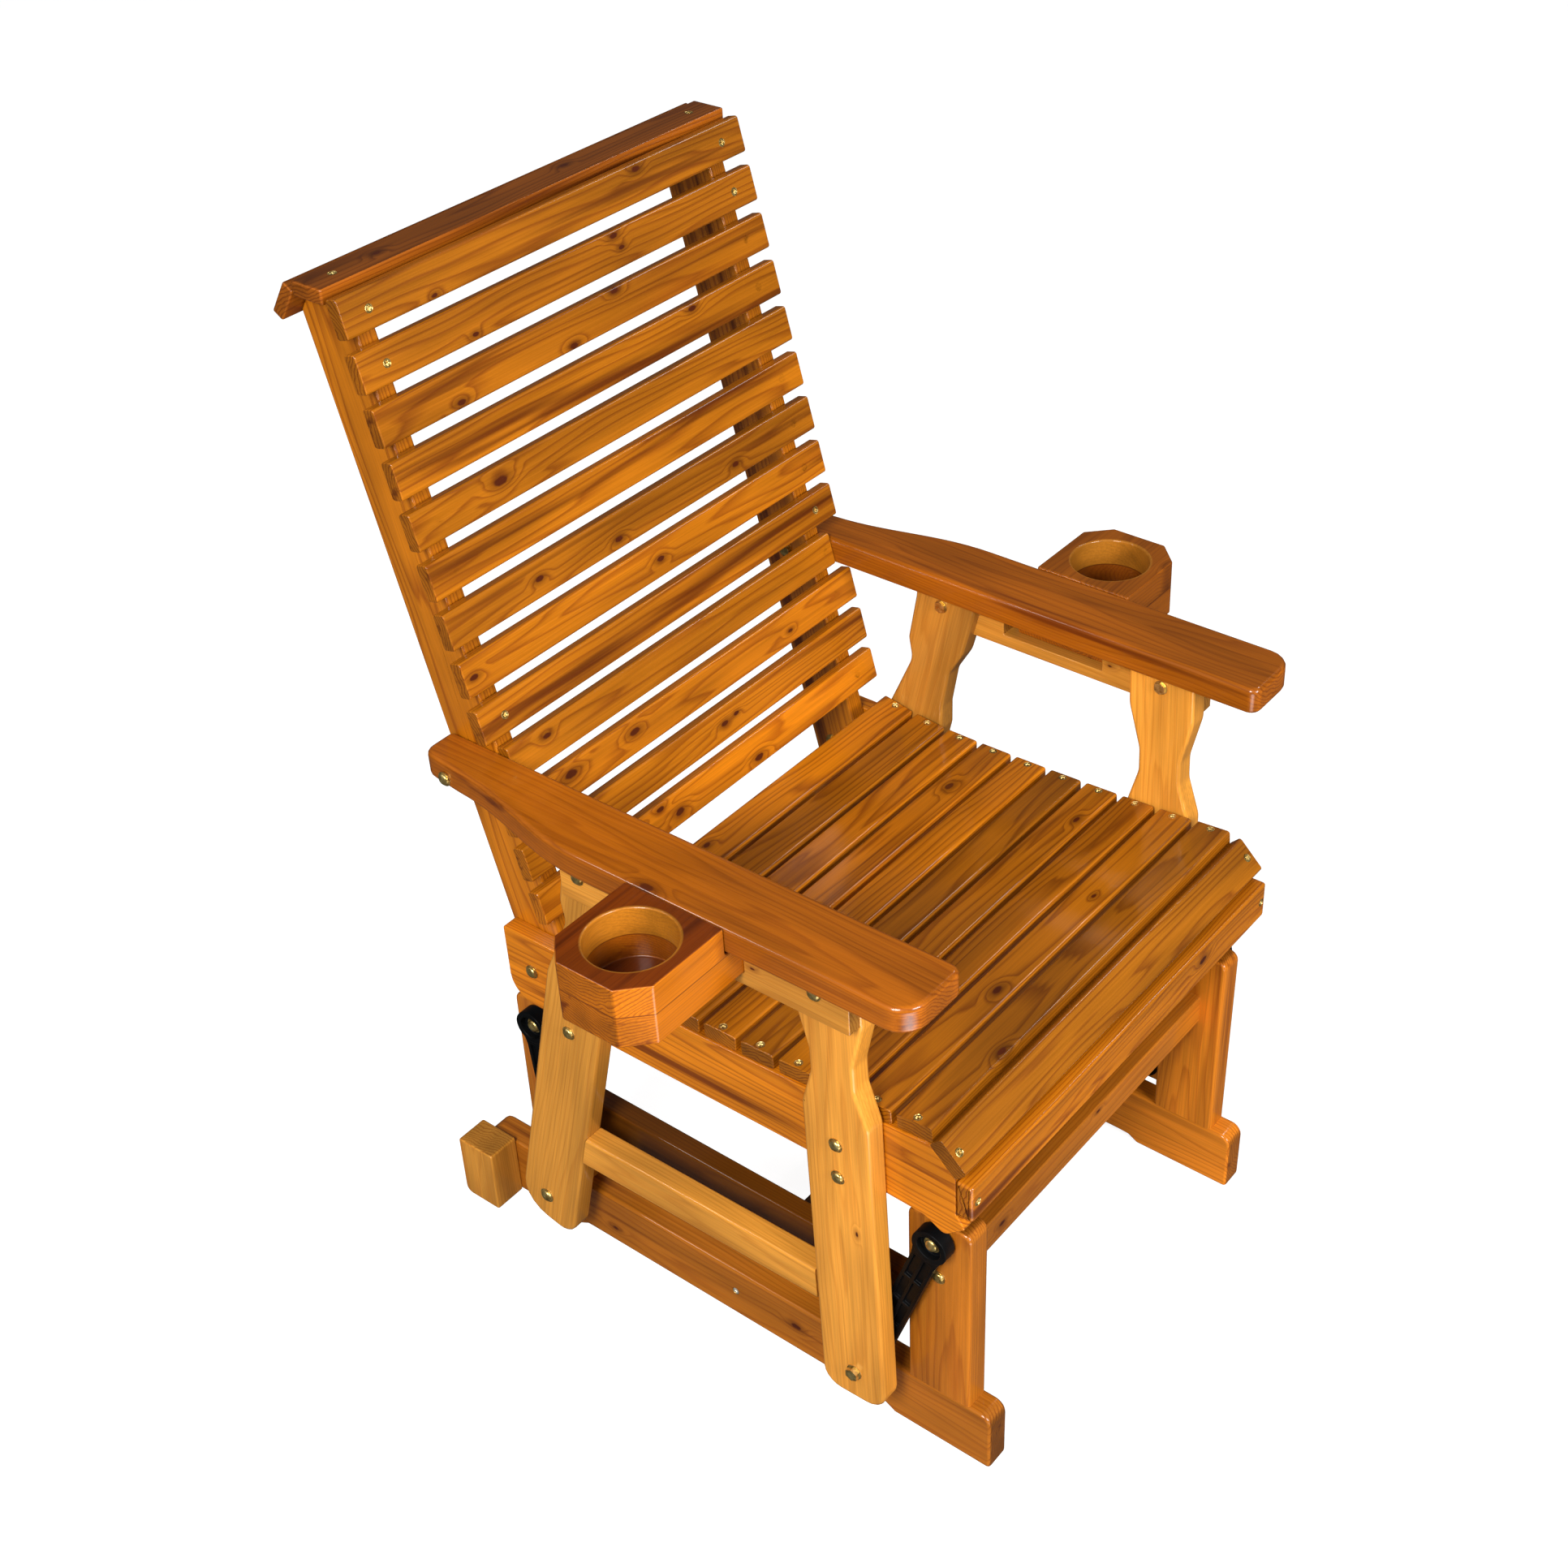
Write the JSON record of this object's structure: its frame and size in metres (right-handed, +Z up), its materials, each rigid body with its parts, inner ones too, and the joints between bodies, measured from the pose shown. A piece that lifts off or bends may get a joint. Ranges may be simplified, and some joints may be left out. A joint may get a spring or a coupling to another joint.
{
  "type": "porch glider chair",
  "caption": "Slatted timber glider chair: a high-backed seat with armrests and cup holders that swings on four links inside a standing base.",
  "frame": {"origin": "on the floor, at the middle of the overall width and depth", "axes": "+Z up, the sitter faces -Y, +X to the sitter's left"},
  "size_m": [0.8594, 0.7502, 1.053],
  "materials": {
    "base_timber": "glossy varnish over red-brown softwood",
    "pale_timber": "glossy varnish over honey-coloured softwood",
    "slat_timber": "glossy varnish over amber softwood with knots",
    "seat_timber": "glossy varnish over brown softwood with knots",
    "dark_timber": "glossy varnish over dark red-brown softwood",
    "link_resin": "semi-gloss black moulded resin",
    "zinc_fittings": "yellow zinc plated steel"
  },
  "bodies": {
    "base": {"runner_left": "base_timber", "runner_right": "base_timber", "front_upright_left": "base_timber", "front_upright_right": "base_timber", "rear_upright_left": "base_timber", "rear_upright_right": "base_timber", "base_side_rails": "base_timber", "front_cross_rail": "base_timber", "rear_cross_rail": "base_timber", "low_stretcher": "base_timber", "foot_blocks": "pale_timber", "base_fasteners": "zinc_fittings"},
    "front_link_right": {"front_link_right": "link_resin"},
    "front_link_left": {"front_link_left": "link_resin"},
    "rear_link_right": {"rear_link_right": "link_resin"},
    "rear_link_left": {"rear_link_left": "link_resin"},
    "seat": {"seat_rail_left": "pale_timber", "seat_rail_right": "pale_timber", "front_post_left": "pale_timber", "front_post_right": "pale_timber", "rear_post_left": "pale_timber", "rear_post_right": "pale_timber", "side_stretchers": "pale_timber", "seat_roll_slat": "slat_timber", "seat_apron": "dark_timber", "back_stile_left": "pale_timber", "back_stile_right": "pale_timber", "cap_board": "dark_timber", "rear_cap_board": "dark_timber", "armrest_left": "dark_timber", "armrest_right": "dark_timber", "arm_rail_left": "pale_timber", "arm_rail_right": "pale_timber", "cup_holder_left": "pale_timber", "cup_holder_right": "pale_timber", "seat_bolts": "zinc_fittings", "slat_screws": "zinc_fittings", "seat_slat_01": "seat_timber", "seat_slat_02": "seat_timber", "seat_slat_03": "seat_timber", "seat_slat_04": "seat_timber", "seat_slat_05": "seat_timber", "seat_slat_06": "seat_timber", "seat_slat_07": "seat_timber", "seat_slat_08": "seat_timber", "seat_slat_09": "seat_timber", "seat_slat_10": "seat_timber", "back_slat_01": "slat_timber", "back_slat_02": "slat_timber", "back_slat_03": "slat_timber", "back_slat_04": "slat_timber", "back_slat_05": "slat_timber", "back_slat_06": "slat_timber", "back_slat_07": "slat_timber", "back_slat_08": "slat_timber", "back_slat_09": "slat_timber", "back_slat_10": "slat_timber", "back_slat_11": "slat_timber", "back_slat_12": "slat_timber", "back_slat_13": "slat_timber"}
  },
  "joints": [
    {"name": "glide", "type": "hinge", "parent": "base", "child": "front_link_right", "pos_m": [-0.25, -0.3145, 0.288], "axis": [1, 0, 0], "range_deg": [-14, 10]},
    {"name": "seat_pivot", "type": "hinge", "parent": "front_link_right", "child": "seat", "pos_m": [-0.25, -0.246, 0.09372], "axis": [1, 0, 0], "range_deg": [-12.17, 17.03]},
    {"name": "front_left_pivot", "type": "hinge", "parent": "base", "child": "front_link_left", "pos_m": [0.25, -0.3145, 0.288], "axis": [1, 0, 0], "range_deg": [-14.02, 10.02]},
    {"name": "rear_right_pivot", "type": "hinge", "parent": "base", "child": "rear_link_right", "pos_m": [-0.25, 0.1785, 0.288], "axis": [1, 0, 0], "range_deg": [-13.38, 9.56]},
    {"name": "rear_left_pivot", "type": "hinge", "parent": "base", "child": "rear_link_left", "pos_m": [0.25, 0.1785, 0.288], "axis": [1, 0, 0], "range_deg": [-13.38, 9.56]}
  ],
  "couplings": [
    {"joint": "seat_pivot", "follows": "glide", "ratio": -1.215},
    {"joint": "front_left_pivot", "follows": "glide", "ratio": 1},
    {"joint": "rear_right_pivot", "follows": "glide", "ratio": 0.9539},
    {"joint": "rear_left_pivot", "follows": "glide", "ratio": 0.9539}
  ]
}
